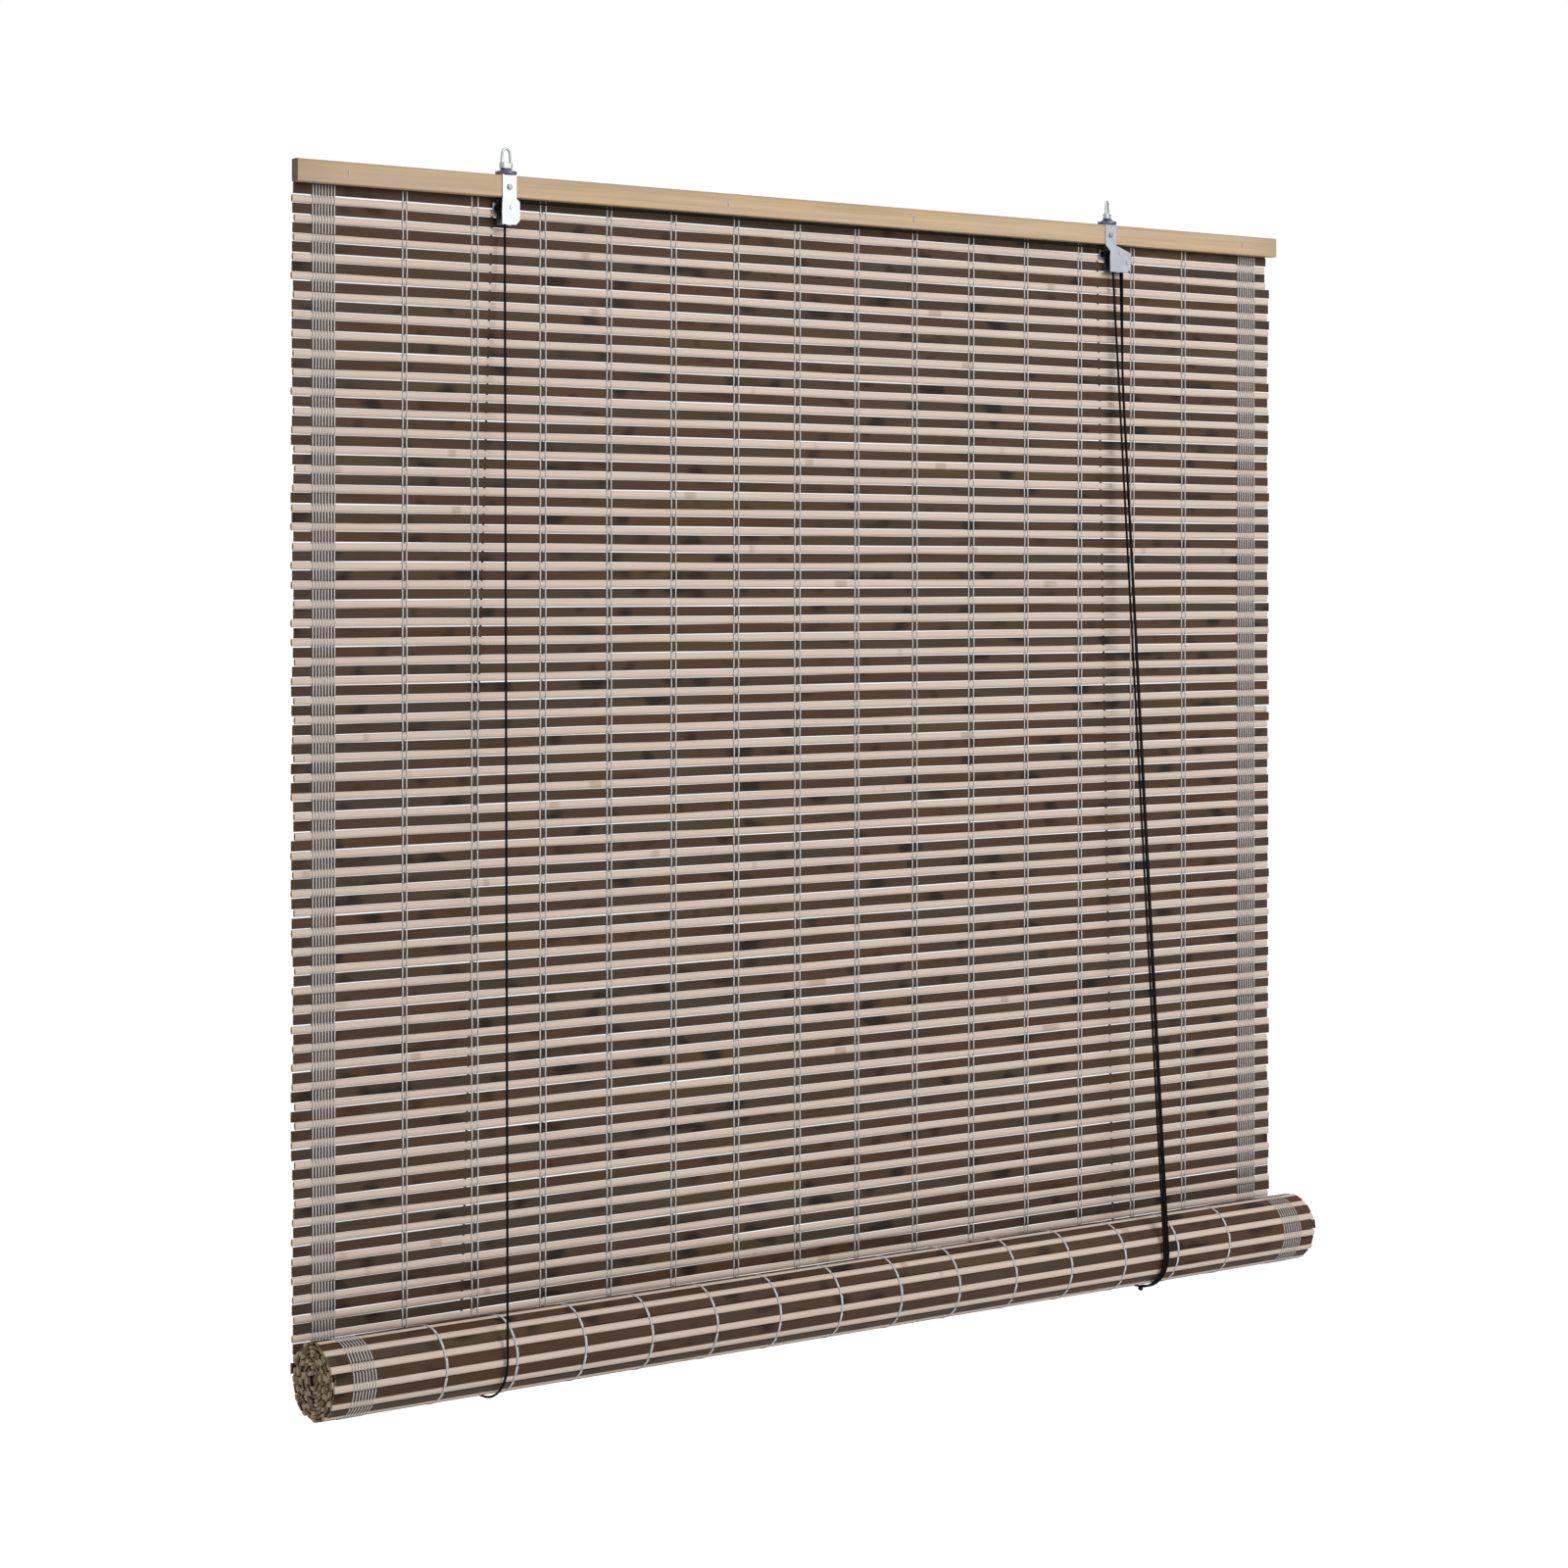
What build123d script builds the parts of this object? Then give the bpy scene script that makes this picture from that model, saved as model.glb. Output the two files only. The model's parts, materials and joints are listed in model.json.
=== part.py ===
"""Bamboo roll-up blind, hanging half rolled up from two swivel eyes.

The frame: X runs along the rail to the right, Y away from the viewer, Z up.  The origin lies on
the line through the inside tops of the two eyes, where the hooks bear, above the rail's middle.
All lengths are in millimetres.  Heights on the clips are given as drops below the rail's top face.
"""
import math
import os

from build123d import *

# Front batten, the headrail that shows
rail_length = 1200.0
rail_depth = 10.0
rail_height = 19.6
rail_edge_round = 1.2
eye_bearing_above_rail = 22.8

# Rear batten, which clamps the top of the mat against the headrail
batten_depth = 5.0
batten_height = 16.5
batten_drop = 2.0
batten_inset = 6.0

# Staples through the front batten, as shares of the rail's length from its left end
staple_shares = (0.0425, 0.388, 0.578, 0.957)
staple_crown_height = 6.0
staple_wire = 1.0
staple_proud = 0.5
staple_bite = 3.0

# Slat mat: dark flat slats and pale thin sticks in turn, tied by thread bands near both edges
slat_height = 8.8
slat_thickness = 2.0
stick_height = 6.4
stick_thickness = 3.0
stick_edge = 1.2
usual_row_gap = 0.7
header_drop = 3.0
first_slat_drop = 20.8
band_inset = 18.0
band_width = 24.0
band_thickness = 0.8
rail_to_roll_axis = 1043.0
mat_end_gap = 0.4

# The rolled part of the mat, round the bottom lath
roll_radius = 36.0
layer_pitch = 3.4
inner_turn_thickness = 2.8
lath_radius = 5.0
lath_recess = 4.0
core_clearance = 0.3
steps_per_turn = 24

# Steel strap clips: a folded strip over the rail, with a housing for the cord wheel below it
left_clip_inset = 218.0
right_clip_inset = 242.5
strap_width = 15.0
sheet = 1.0
fold_round = 0.8
rear_lip_drop = 2.5
leg_straight_drop = 20.6
housing_step_drop = 26.4
cheek_top_drop = 21.1
web_relief = 2.0
housing_corner = 4.0
left_housing_low = 44.0
right_housing_low = 47.5
left_shoulder_drop = 23.6
right_shoulder_drop = 27.4
left_housing_from = -8.0
left_housing_to = 11.0
right_housing_from = -1.0
right_housing_to = 27.5
tab_reach = 4.0
tab_half_height = 4.5

# Strap screws
screw_drop = 10.5
screw_radius = 1.25
screw_hole_radius = 1.4
screw_head_radius = 2.6
screw_head_height = 1.5
screw_bite = 8.0

# Swivel eyes and their collars, each a cone on a wide flange
eye_wire_radius = 1.2
eye_bend_radius = 4.0
eye_foot_reach = 5.0
yoke_margin = 0.3
yoke_width = 7.0
yoke_height = 5.1
yoke_round = 0.8
stem_radius = 2.0
stem_running_gap = 0.05
stem_head_radius = 3.6
stem_head_height = 1.6
seat_gap = 0.3
collar_height = 5.2
collar_flange_radius = 9.8
collar_flange_height = 2.5
collar_foot_radius = 6.6
collar_top_radius = 4.8
strap_hole_radius = 2.2
pocket_radius = 4.6
pocket_depth = 5.0
left_eye_turn = 0.0
right_eye_turn = 30.0

# Cord wheels: two grooves, on a rivet between the housing's cheeks
wheel_radius = 7.0
groove_radius = 4.3
groove_width = 2.4
groove_land = 0.6
wheel_flange = 0.7
wheel_drop = 28.2
wheel_front_gap = 0.6
wheel_rear_gap = 0.5
left_wheel_offset = 2.5
right_wheel_offset = 13.5
axle_radius = 1.5
axle_running_gap = 0.05
axle_head_radius = 2.4
axle_head_height = 0.6

# Cord lock in the right housing: a sprung cam that pinches the pull cords
cam_drop = 36.7
cam_offset = 23.5
cam_hub_radius = 2.6
cam_pin_radius = 1.2
cam_running_gap = 0.05
cam_nose_gap = 0.3
cam_nose_drop = 1.0
cam_nose_half_height = 0.9
cam_side_gap = 0.4

# Cords: black braid.  The lift cords sling the roll, and their free ends are the pull cords
cord_radius = 0.9
cord_clearance = 0.3
cord_stub = 6.0
splice_gap = 0.3
tie_bend_radius = 2.5
tie_reach = 10.4
tie_clearance = 0.3
left_knot_offset = -8.2
right_knot_offset = -4.0
tie_knot_radius = 3.0
left_sling_inset = 175.5
right_sling_inset = 225.0
pull_spacing = 2.9
pull_meet_share = 0.12
pull_bend_radius = 300.0
pull_knot_radius = 3.2
pull_knot_drop = 3.5

# Places worked out from the sizes above
cut_overrun = 1.0
rail_top = -eye_bearing_above_rail
rail_bottom = rail_top - rail_height
rail_front = -rail_depth / 2
rail_back = rail_depth / 2
rail_left = -rail_length / 2
rail_right = rail_length / 2
mat_middle = rail_back + stick_thickness / 2
mat_back = rail_back + stick_thickness
roll_axis_y = mat_middle - roll_radius + stick_thickness / 2
roll_axis_z = rail_top - rail_to_roll_axis
left_clip_x = rail_left + left_clip_inset
right_clip_x = rail_right - right_clip_inset
left_wheel_x = left_clip_x + left_wheel_offset
right_wheel_x = right_clip_x + right_wheel_offset
wheel_z = rail_top - wheel_drop
wheel_front = rail_front + wheel_front_gap
wheel_width = 2 * wheel_flange + 2 * groove_width + groove_land
cheek_front = wheel_front + wheel_width + wheel_rear_gap
cheek_back = cheek_front + sheet
first_groove_y = wheel_front + wheel_flange + groove_width / 2
second_groove_y = first_groove_y + groove_width + groove_land
wrap_radius = groove_radius + cord_clearance + cord_radius
sling_radius = roll_radius + cord_clearance + cord_radius
left_sling_x = rail_left + left_sling_inset
right_sling_x = rail_right - right_sling_inset
first_slat_bottom = rail_top - first_slat_drop - slat_height
mat_bottom = roll_axis_z + mat_end_gap
row_count = round((first_slat_bottom - mat_bottom) / (slat_height + stick_height + 2 * usual_row_gap))
row_pitch = (first_slat_bottom - mat_bottom) / row_count
row_gap = (row_pitch - slat_height - stick_height) / 2
tie_z = first_slat_bottom - row_gap + tie_clearance / 2 + cord_radius
top_slat_low = tie_z + cord_radius + tie_clearance / 2

os.makedirs("parts", exist_ok=True)


def save(solid, node):
    """Write one piece to its own file."""
    export_step(solid, f"parts/{node}.step")


def span_box(x_span, y_span, z_span):
    """A box between two limits on each axis."""
    size = [high - low for low, high in (x_span, y_span, z_span)]
    middle = [(high + low) / 2 for low, high in (x_span, y_span, z_span)]
    return Pos(*middle) * Box(*size)


def plate(outline, y_low, y_high):
    """A flat sheet facing the viewer, cut to an outline of (x, z) points."""
    face = make_face(Polyline(*[(x, y_low, z) for x, z in outline], close=True))
    return extrude(face, amount=y_high - y_low, dir=(0, 1, 0))


def pin_along_y(x, z, radius, y_low, y_high):
    """A round pin from front to back."""
    return extrude(Plane(origin=(x, y_low, z), z_dir=(0, 1, 0)) * Circle(radius), amount=y_high - y_low)


def upright(x, radius, z_low, z_high):
    """A round upright pin over the rail's middle line."""
    return extrude(Plane(origin=(x, 0, z_low)) * Circle(radius), amount=z_high - z_low)


# Headrail, with a pocket under each clip for the end of the eye's stem
def make_headrail():
    bar = span_box((rail_left, rail_right), (rail_front, rail_back), (rail_bottom, rail_top))
    bar = fillet(bar.edges().filter_by(Axis.X), rail_edge_round)
    for clip_x in (left_clip_x, right_clip_x):
        bar -= upright(clip_x, pocket_radius, rail_top - pocket_depth, rail_top + cut_overrun)
    return bar


def make_rear_batten():
    z_high = rail_top - batten_drop
    ends = (rail_left + batten_inset, rail_right - batten_inset)
    bar = span_box(ends, (mat_back, mat_back + batten_depth),
                   (z_high - batten_height, z_high))
    return fillet(bar.edges().filter_by(Axis.X).group_by(Axis.Y)[-1], rail_edge_round)


# Staples: an upright crown on the rail's face and two legs through the mat into the rear batten
def make_staples():
    staples = []
    middle_z = (rail_top + rail_bottom) / 2
    leg_end = mat_back + staple_bite
    for share in staple_shares:
        x = rail_left + share * rail_length
        sides = (x - staple_wire / 2, x + staple_wire / 2)
        crown = span_box(sides, (rail_front - staple_proud, rail_front),
                         (middle_z - staple_crown_height / 2, middle_z + staple_crown_height / 2))
        for side in (-1, 1):
            leg_z = middle_z + side * (staple_crown_height - staple_wire) / 2
            crown += span_box(sides, (rail_front, leg_end),
                              (leg_z - staple_wire / 2, leg_z + staple_wire / 2))
        staples.append(crown.solid())
    return Compound(staples)


# Slat mat: one wall of ridges with a gap above and below each stick
def stick_section(z):
    half_edge = stick_edge / 2
    half_height = stick_height / 2
    half_thickness = stick_thickness / 2
    outline = [(-half_edge, half_height), (half_edge, half_height), (half_thickness, 0),
               (half_edge, -half_height), (-half_edge, -half_height), (-half_thickness, 0)]
    return [(rail_left, mat_middle + y, z + up) for y, up in outline]


def make_slat_mat():
    header = span_box((rail_left, rail_right), (rail_back, mat_back), (rail_bottom, rail_top - header_drop))
    slat_y = (mat_middle - slat_thickness / 2, mat_middle + slat_thickness / 2)
    strips = [header, span_box((rail_left, rail_right), slat_y, (top_slat_low, rail_bottom))]
    for row in range(1, row_count + 1):
        slat_low = first_slat_bottom - row * row_pitch
        strips.append(span_box((rail_left, rail_right), slat_y, (slat_low, slat_low + slat_height)))
        stick_z = slat_low + slat_height + row_gap + stick_height / 2
        stick = make_face(Polyline(*stick_section(stick_z), close=True))
        strips.append(extrude(stick, amount=rail_length, dir=(1, 0, 0)))
    band_y = (mat_middle - band_thickness / 2, mat_middle + band_thickness / 2)
    for edge, inward in ((rail_left, 1), (rail_right, -1)):
        ends = sorted((edge + inward * band_inset, edge + inward * (band_inset + band_width)))
        strips.append(span_box(ends, band_y, (mat_bottom + slat_height / 2, rail_bottom)))
    closed_row = (mat_bottom + slat_height / 2, mat_bottom + row_pitch)
    strips.append(span_box((rail_left, rail_right), band_y, closed_row))
    return strips[0].fuse(*strips[1:])


# Rolled mat: a spiral of flat turns, ridged on its outer turn where the slats and sticks show
def roll_point(radius, angle):
    return (rail_left, roll_axis_y + radius * math.cos(angle), roll_axis_z - radius * math.sin(angle))


def turn_middle(angle):
    return roll_radius - stick_thickness / 2 - layer_pitch * angle / math.tau


def make_rolled_mat():
    last_middle = lath_radius + core_clearance + inner_turn_thickness / 2
    turns = (turn_middle(0) - last_middle) / layer_pitch
    step_angle = math.tau / steps_per_turn
    outer_side = []
    angle = 0
    for _ in range(int(math.tau * turn_middle(math.pi) / row_pitch)):
        for length, thickness in ((row_gap, band_thickness), (stick_height, stick_thickness),
                                  (row_gap, band_thickness), (slat_height, slat_thickness)):
            sweep_angle = length / turn_middle(angle)
            for end in (angle, angle + sweep_angle):
                outer_side.append(roll_point(turn_middle(end) + thickness / 2, end))
            angle += sweep_angle
    first_step = math.ceil(angle / step_angle)
    last_step = int(turns * steps_per_turn)
    for step in range(first_step, last_step + 1):
        angle = step * step_angle
        outer_side.append(roll_point(turn_middle(angle) + inner_turn_thickness / 2, angle))
    inner_side = []
    for step in range(last_step + 1):
        half = slat_thickness / 2 if step < first_step else inner_turn_thickness / 2
        inner_side.append(roll_point(turn_middle(step * step_angle) - half, step * step_angle))
    outline = outer_side + inner_side[::-1]
    return extrude(make_face(Polyline(*outline, close=True)), amount=rail_length, dir=(1, 0, 0))


def make_bottom_lath():
    start = Plane(origin=(rail_left + lath_recess, roll_axis_y, roll_axis_z), z_dir=(1, 0, 0))
    return extrude(start * Circle(lath_radius), amount=rail_length - 2 * lath_recess)


# Strap clip: front leg, top leg and rear lip over the rail, and a channel below it that is open
# to the left and sloped at its right shoulder, with a tab where the lift cord's fixed end is tied
def make_strap(clip_x, housing_from, housing_to, housing_low, shoulder_drop, knot_offset, holes):
    half = strap_width / 2
    leg = [(-half, -sheet), (-half, leg_straight_drop), (housing_from, housing_step_drop),
           (housing_from, housing_low), (housing_to - housing_corner, housing_low),
           (housing_to, housing_low - housing_corner), (housing_to, shoulder_drop),
           (half, leg_straight_drop), (half, -sheet)]
    cheek = [(housing_from, cheek_top_drop), *leg[3:7]]
    place = [(clip_x + x, rail_top - drop) for x, drop in leg]
    front = plate(place, rail_front - sheet, rail_front)
    rear = plate([(clip_x + x, rail_top - drop) for x, drop in cheek], cheek_front, cheek_back)
    knot_x = clip_x + knot_offset
    rear += span_box((knot_x - tab_reach, clip_x + housing_from + sheet), (cheek_front, cheek_back),
                     (tie_z - tab_half_height, tie_z + tab_half_height))
    web = span_box((clip_x + housing_to - sheet, clip_x + housing_to), (rail_front, cheek_front),
                   (rail_top - housing_low + housing_corner, rail_top - shoulder_drop - web_relief))
    sides = (clip_x - half, clip_x + half)
    top = span_box(sides, (rail_front, rail_back + sheet), (rail_top, rail_top + sheet))
    lip = span_box(sides, (rail_back, rail_back + sheet), (rail_top - rear_lip_drop, rail_top))
    strap = front + web + rear + top + lip
    folds = strap.edges().filter_by(Axis.X).group_by(Axis.Z)[-1]
    strap = fillet([folds.sort_by(Axis.Y)[0], folds.sort_by(Axis.Y)[-1]], fold_round)
    strap -= upright(clip_x, strap_hole_radius, rail_top - cut_overrun, rail_top + sheet + cut_overrun)
    strap -= pin_along_y(clip_x, rail_top - screw_drop, screw_hole_radius,
                         rail_front - sheet - cut_overrun, rail_front + cut_overrun)
    strap -= pin_along_y(knot_x, tie_z, cord_radius + cord_clearance,
                         cheek_front - cut_overrun, cheek_back + cut_overrun)
    for x, z, radius in holes:
        strap -= pin_along_y(x, z, radius, rail_front - sheet - cut_overrun, cheek_back + cut_overrun)
    return strap


def make_screws():
    screws = []
    for clip_x in (left_clip_x, right_clip_x):
        z = rail_top - screw_drop
        face = rail_front - sheet
        dome = pin_along_y(clip_x, z, screw_head_radius, face - screw_head_height, face)
        dome = fillet(dome.edges().group_by(Axis.Y)[0], screw_head_height / 2)
        screws.append((dome + pin_along_y(clip_x, z, screw_radius, face, face + screw_bite)).solid())
    return Compound(screws)


# Swivel eye: an arch of wire set in a rounded yoke. The yoke's stem turns in the collar and is
# headed under the strap.
def make_eye(clip_x, turn):
    yoke_low = rail_top + sheet + collar_height + seat_gap
    yoke_length = 2 * (eye_foot_reach + eye_wire_radius + yoke_margin)
    yoke = extrude(SlotOverall(yoke_length, yoke_width), amount=yoke_height)
    eye = Pos(0, 0, yoke_low) * fillet(yoke.edges().group_by(Axis.Z)[-1], yoke_round)
    bend_z = eye_wire_radius - eye_bend_radius
    foot_z = yoke_low + yoke_height - eye_wire_radius - yoke_round
    foot_distance = math.hypot(eye_foot_reach, foot_z - bend_z)
    touch_turn = math.atan2(foot_z - bend_z, eye_foot_reach) + math.acos(eye_bend_radius / foot_distance)
    touch_x = eye_bend_radius * math.cos(touch_turn)
    touch_z = bend_z + eye_bend_radius * math.sin(touch_turn)
    bend_top = (0, 0, bend_z + eye_bend_radius)
    for stretch in (Line((eye_foot_reach, 0, foot_z), (touch_x, 0, touch_z)),
                    ThreePointArc((touch_x, 0, touch_z), bend_top, (-touch_x, 0, touch_z)),
                    Line((-touch_x, 0, touch_z), (-eye_foot_reach, 0, foot_z))):
        start = Plane(origin=stretch @ 0, z_dir=stretch % 0)
        eye += sweep(start * Circle(eye_wire_radius), path=stretch)
    head_high = rail_top - seat_gap
    eye += upright(0, stem_radius, head_high - stem_head_height, yoke_low)
    eye += upright(0, stem_head_radius, head_high - stem_head_height, head_high)
    return Pos(clip_x, 0, 0) * Rot(0, 0, turn) * eye


def make_collar(clip_x):
    bore = stem_radius + stem_running_gap
    profile = [(bore, 0), (collar_flange_radius, 0), (collar_flange_radius, collar_flange_height),
               (collar_foot_radius, collar_flange_height), (collar_top_radius, collar_height),
               (bore, collar_height)]
    face = make_face(Polyline(*[(radius, 0, up) for radius, up in profile], close=True))
    return Pos(clip_x, 0, rail_top + sheet) * revolve(face, axis=Axis.Z)


# Cord wheel and its rivet
def make_wheel(wheel_x):
    bore = axle_radius + axle_running_gap
    first_low = wheel_flange
    first_high = first_low + groove_width
    second_low = first_high + groove_land
    second_high = second_low + groove_width
    profile = [(bore, 0), (wheel_radius, 0), (wheel_radius, first_low), (groove_radius, first_low),
               (groove_radius, first_high), (wheel_radius, first_high), (wheel_radius, second_low),
               (groove_radius, second_low), (groove_radius, second_high), (wheel_radius, second_high),
               (wheel_radius, wheel_width), (bore, wheel_width)]
    face = make_face(Polyline(*[(radius, y, 0) for radius, y in profile], close=True))
    return Pos(wheel_x, wheel_front, wheel_z) * revolve(face, axis=Axis.Y)


def make_rivet(x, z, radius, head_radius):
    front = rail_front - sheet
    rivet = pin_along_y(x, z, radius, front, cheek_back)
    rivet += pin_along_y(x, z, head_radius, front - axle_head_height, front)
    return rivet + pin_along_y(x, z, head_radius, cheek_back, cheek_back + axle_head_height)


# Lock cam: a hub on its pin, with a blunt nose against the pull cords
def make_lock_cam():
    x = right_clip_x + cam_offset
    z = rail_top - cam_drop
    y_low = rail_front + cam_side_gap
    y_high = cheek_front - cam_side_gap
    nose_x = right_wheel_x + wrap_radius + cord_radius + cam_nose_gap
    nose_z = z - cam_nose_drop
    nose = plate([(x, z + cam_hub_radius), (nose_x, nose_z + cam_nose_half_height),
                  (nose_x, nose_z - cam_nose_half_height), (x, z - cam_hub_radius)], y_low, y_high)
    cam = nose + pin_along_y(x, z, cam_hub_radius, y_low, y_high)
    bore = cam_pin_radius + cam_running_gap
    return cam - pin_along_y(x, z, bore, y_low - cut_overrun, y_high + cut_overrun)


# Cords: each stretch is a plain tube, and the stretches meet end to end
def tube(path):
    start = Plane(origin=path @ 0, z_dir=path % 0)
    return sweep(start * Circle(cord_radius), path=path)


def sling_touch(y, z):
    """The point where a taut cord from (y, z) meets the sling's circle at the front of the roll."""
    away_y = y - roll_axis_y
    away_z = z - roll_axis_z
    distance = math.hypot(away_y, away_z)
    angle = math.atan2(away_z, away_y) + math.acos(sling_radius / distance)
    return (roll_axis_y + sling_radius * math.cos(angle), roll_axis_z + sling_radius * math.sin(angle))


def front_run(top_x, top_y, bottom_x):
    """A taut run from under a wheel to the front of the roll, just short of the cord that cradles it."""
    top_z = wheel_z - cord_stub
    whole = Line((top_x, top_y, top_z), (bottom_x, *sling_touch(top_y, top_z)))
    return tube(Line(whole @ 0, whole @ (1 - splice_gap / whole.length)))


def pull_run(top_y, beside, bottom_x):
    """A slack run from the right wheel, which comes in beside the lift cord and goes down with it."""
    top_z = wheel_z - cord_stub
    lift_x = right_wheel_x - wrap_radius
    lift_x += pull_meet_share * (right_sling_x - lift_x)
    top = (right_wheel_x + wrap_radius, top_y, top_z)
    straight = Line(top, (bottom_x, *sling_touch(top_y, top_z)))
    meeting = straight @ pull_meet_share
    lower = Line((lift_x + beside, meeting.Y, meeting.Z), straight @ 1)
    end = lower @ (1 - splice_gap / lower.length)
    return tube(FilletPolyline(top, lower @ 0, end, radius=pull_bend_radius))


def back_run(knot_x, sling_x):
    """The fixed end: from the tab's knot through the mat, then down behind it to the sling."""
    path = FilletPolyline((knot_x, cheek_front, tie_z), (knot_x, tie_reach, tie_z),
                          (sling_x, roll_axis_y + sling_radius, roll_axis_z + splice_gap),
                          radius=tie_bend_radius)
    return tube(path)


def sling(x, top_y):
    """The bight that cradles the roll, from the front touch down and round to the back."""
    touch = sling_touch(top_y, wheel_z - cord_stub)
    return tube(ThreePointArc((x, *touch), (x, roll_axis_y, roll_axis_z - sling_radius),
                              (x, roll_axis_y + sling_radius, roll_axis_z)))


def pull_end(x, top_y):
    """The end of a pull cord, round the front of the roll to its knot below."""
    touch = sling_touch(top_y, wheel_z - cord_stub)
    low_front = sling_radius * math.cos(math.pi / 4)
    return tube(ThreePointArc((x, *touch), (x, roll_axis_y - low_front, roll_axis_z - low_front),
                              (x, roll_axis_y, roll_axis_z - sling_radius)))


def cross_run():
    """From the left wheel's left side over it, along under the rail and over the right wheel."""
    y = first_groove_y
    line_z = wheel_z + wrap_radius
    corner = wrap_radius * math.cos(math.pi / 4)
    left_x = left_wheel_x - wrap_radius
    right_x = right_wheel_x + wrap_radius
    low_z = wheel_z - cord_stub
    path = (Line((left_x, y, low_z), (left_x, y, wheel_z))
            + ThreePointArc((left_x, y, wheel_z), (left_wheel_x - corner, y, wheel_z + corner),
                            (left_wheel_x, y, line_z))
            + Line((left_wheel_x, y, line_z), (right_wheel_x, y, line_z))
            + ThreePointArc((right_wheel_x, y, line_z), (right_wheel_x + corner, y, wheel_z + corner),
                            (right_x, y, wheel_z))
            + Line((right_x, y, wheel_z), (right_x, y, low_z)))
    return tube(path)


def right_turn():
    """Over the right wheel, from the lift side to the pull side."""
    y = second_groove_y
    left_x = right_wheel_x - wrap_radius
    right_x = right_wheel_x + wrap_radius
    low_z = wheel_z - cord_stub
    over_top = (right_wheel_x, y, wheel_z + wrap_radius)
    path = (Line((left_x, y, low_z), (left_x, y, wheel_z))
            + ThreePointArc((left_x, y, wheel_z), over_top, (right_x, y, wheel_z))
            + Line((right_x, y, wheel_z), (right_x, y, low_z)))
    return tube(path)


def tie_knot(clip_x, knot_offset):
    """The knot in front of the strap's tab."""
    return Pos(clip_x + knot_offset, cheek_front - tie_knot_radius, tie_z) * Sphere(tie_knot_radius)


def pull_knot():
    x = right_sling_x + pull_spacing + pull_spacing / 2
    place = Pos(x, roll_axis_y + pull_knot_radius / 2, roll_axis_z - roll_radius - pull_knot_drop)
    return place * Sphere(pull_knot_radius)


save(make_headrail(), "headrail")
save(make_rear_batten(), "rear_batten")
save(make_staples(), "rail_staples")
save(make_slat_mat(), "slat_mat")
save(make_rolled_mat(), "rolled_mat")
save(make_bottom_lath(), "bottom_lath")

left_axle_hole = (left_wheel_x, wheel_z, axle_radius)
right_axle_hole = (right_wheel_x, wheel_z, axle_radius)
cam_x = right_clip_x + cam_offset
cam_z = rail_top - cam_drop
cam_pin_hole = (cam_x, cam_z, cam_pin_radius)
save(make_strap(left_clip_x, left_housing_from, left_housing_to, left_housing_low, left_shoulder_drop,
                left_knot_offset, [left_axle_hole]), "left_strap")
save(make_strap(right_clip_x, right_housing_from, right_housing_to, right_housing_low, right_shoulder_drop,
                right_knot_offset, [right_axle_hole, cam_pin_hole]), "right_strap")
save(make_screws(), "strap_screws")
save(make_eye(left_clip_x, left_eye_turn), "left_eye")
save(make_eye(right_clip_x, right_eye_turn), "right_eye")
save(make_collar(left_clip_x), "left_collar")
save(make_collar(right_clip_x), "right_collar")
save(make_wheel(left_wheel_x), "left_wheel")
save(make_wheel(right_wheel_x), "right_wheel")
save(make_rivet(left_wheel_x, wheel_z, axle_radius, axle_head_radius), "left_axle")
save(make_rivet(right_wheel_x, wheel_z, axle_radius, axle_head_radius), "right_axle")
save(make_lock_cam(), "lock_cam")
save(make_rivet(cam_x, cam_z, cam_pin_radius, axle_head_radius), "cam_pin")

first_pull_x = right_sling_x + pull_spacing
second_pull_x = first_pull_x + pull_spacing
save(front_run(left_wheel_x - wrap_radius, first_groove_y, left_sling_x), "left_lift_cord")
save(front_run(right_wheel_x - wrap_radius, second_groove_y, right_sling_x), "right_lift_cord")
save(pull_run(first_groove_y, pull_spacing, first_pull_x), "first_pull_cord")
save(pull_run(second_groove_y, 2 * pull_spacing, second_pull_x), "second_pull_cord")
save(back_run(left_clip_x + left_knot_offset, left_sling_x), "left_back_cord")
save(back_run(right_clip_x + right_knot_offset, right_sling_x), "right_back_cord")
save(cross_run(), "cross_cord")
save(right_turn(), "right_turn_cord")
save(sling(left_sling_x, first_groove_y), "left_sling")
save(sling(right_sling_x, second_groove_y), "right_sling")
save(pull_end(first_pull_x, first_groove_y), "first_pull_end")
save(pull_end(second_pull_x, second_groove_y), "second_pull_end")
save(tie_knot(left_clip_x, left_knot_offset), "left_tie_knot")
save(tie_knot(right_clip_x, right_knot_offset), "right_tie_knot")
save(pull_knot(), "pull_knot")

print(f"row pitch {row_pitch:.2f} mm, row gap {row_gap:.2f} mm")
print(f"cord radii: wheels {wrap_radius:.1f} mm, roll {sling_radius:.1f} mm, tie {tie_bend_radius:.1f} mm, "
      f"pulls {pull_bend_radius:.1f} mm")
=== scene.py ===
import json
import math

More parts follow.
